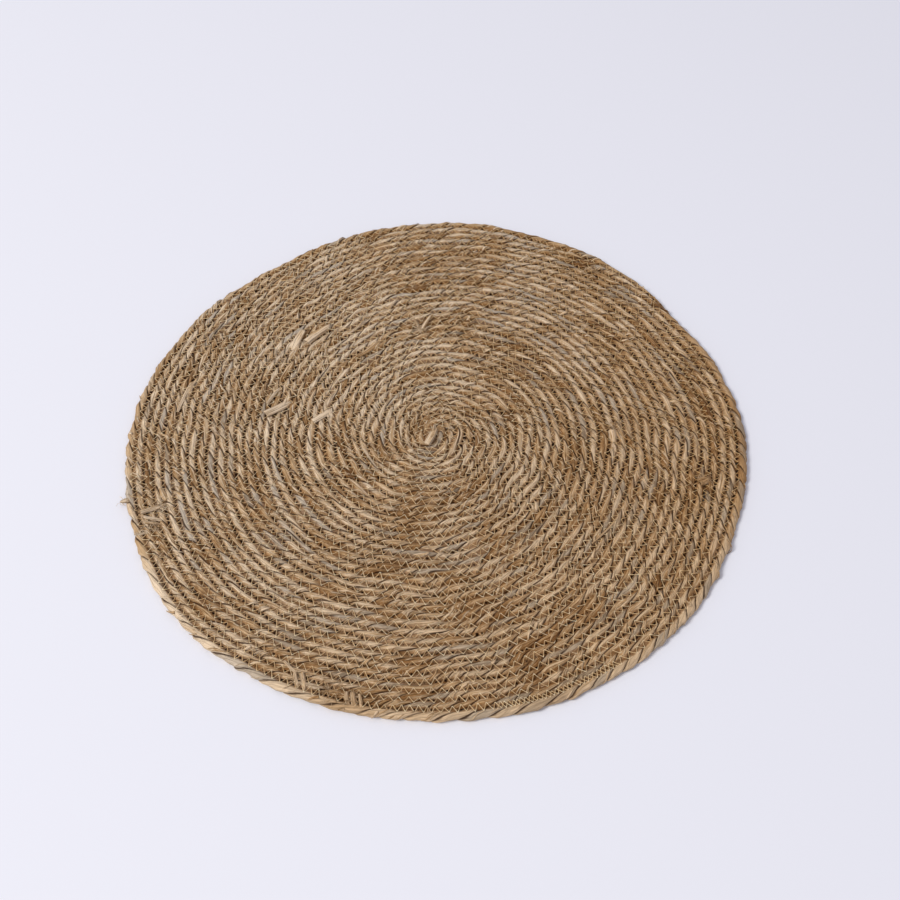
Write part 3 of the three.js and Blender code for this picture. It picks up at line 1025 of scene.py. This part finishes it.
def frayed_fibres():
    """Fine curling fibres, thick in the tufts and sparse elsewhere. Each is an arc in plan whose heading
    turns evenly along it. It rises off the mat by a half sine, and hangs down where it passes the rim."""
    random = np.random.default_rng(73)
    tufted = [random.normal(place, spread / 2, (number, 2)) for place, spread, number in TUFTS]
    loose_at = random.uniform(10, RIM_TURN_LENGTH, LOOSE_FIBRES)
    scattered = on_cord(loose_at, CORD_POINTS) + random.normal(0, 1, (LOOSE_FIBRES, 2))
    start = np.concatenate([*tufted, scattered])
    count = len(start)
    t = np.linspace(0, 1, 8)
    reach = random.uniform(1.5, 6, (count, 1))
    heading = random.uniform(0, TURN, (count, 1)) + t * random.normal(0, 1.6, (count, 1))
    step = np.stack([np.cos(heading), np.sin(heading)], -1) * reach[..., None] / (len(t) - 1)
    plan = start[:, None] + np.cumsum(step, axis=1)
    z = FIBRE_HEIGHT + random.uniform(0.0, 0.5, (count, 1))
    z = z + np.sin(math.pi * t) * random.uniform(0.0, 1.4, (count, 1))
    outside = np.hypot(plan[..., 0], plan[..., 1]) - MAT_RADIUS + 1
    z = z - eased(outside, 0, 4) * RIM_DROP
    path = raised(plan, z)
    radius = random.uniform(0.08, 0.2, (count, 1, 1)) * np.ones((count, len(t), 1))
    sideways = -radius * np.cos(TUBE_CORNERS)
    rings = swept(path, np.broadcast_to(UPWARD, path.shape), sideways, radius * np.sin(TUBE_CORNERS))
    return loose_strips("frayed_fibres", rings, t, 0.6, 12)


slivers = leaf_slivers()
ends = cut_ends()
tips = leaf_tips()
fibres = frayed_fibres()


# Floor, light and camera

ROOM_STRENGTH = 0.56
KEY_PLACE = (-2.5, -1.2, 3.3)
KEY_SIZE = 1.5
KEY_WATTS = 123.5
KEY_COLOUR = (1.0, 0.972, 0.932)
FLOOR_HALF = 6.0
CAMERA_PLACE = Vector((0.008494, -0.468158, 0.609338))
CAMERA_DOWN = math.radians(52.961)
CAMERA_ROLL = math.radians(-1.1957)
LENS = 49.55
SENSOR = 36.0


def floor_sheet():
    """A plain pale floor that runs out of the picture on every side."""
    finish = Finish("floor")
    finish.set(Base_Color=rgba(PALE_FLOOR), Roughness=0.9, Specular_IOR_Level=0.1)
    corners = [(FLOOR_HALF * x, FLOOR_HALF * y, 0) for x, y in ((-1, -1), (1, -1), (1, 1), (-1, 1))]
    mesh = bpy.data.meshes.new("floor")
    mesh.from_pydata(corners, [], [(0, 1, 2, 3)])
    mesh.materials.append(finish.material)
    floor = bpy.data.objects.new("floor", mesh)
    bpy.context.scene.collection.objects.link(floor)


def studio():
    """Even bluish-white room light, and one large soft light high on the near left that faces the mat."""
    world = bpy.data.worlds.new("studio")
    world.use_nodes = True
    background = world.node_tree.nodes["Background"]
    background.inputs[0].default_value = rgba(ROOM_LIGHT)
    background.inputs[1].default_value = ROOM_STRENGTH
    bpy.context.scene.world = world
    light = bpy.data.lights.new("key_light", "AREA")
    light.shape = "SQUARE"
    light.size = KEY_SIZE
    light.energy = KEY_WATTS
    light.color = KEY_COLOUR
    lamp = bpy.data.objects.new("key_light", light)
    lamp.location = KEY_PLACE
    lamp.rotation_euler = Vector(KEY_PLACE).to_track_quat("Z", "Y").to_euler()
    bpy.context.scene.collection.objects.link(lamp)
    bpy.context.scene.view_settings.view_transform = "Standard"


def photo_camera():
    """The camera, looking down at the mat from its near side, turned a little about its own axis."""
    data = bpy.data.cameras.new("camera")
    data.lens = LENS
    data.sensor_width = SENSOR
    camera = bpy.data.objects.new("camera", data)
    back = Vector((0, -math.cos(CAMERA_DOWN), math.sin(CAMERA_DOWN)))
    right = Vector((1, 0, 0))
    up = back.cross(right)
    turned_right = math.cos(CAMERA_ROLL) * right + math.sin(CAMERA_ROLL) * up
    turned_up = math.cos(CAMERA_ROLL) * up - math.sin(CAMERA_ROLL) * right
    axes = Matrix((turned_right, turned_up, back)).transposed().to_4x4()
    camera.matrix_world = Matrix.Translation(CAMERA_PLACE) @ axes
    bpy.context.scene.collection.objects.link(camera)
    bpy.context.scene.camera = camera


floor_sheet()
studio()
photo_camera()

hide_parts(CORD_NODE)
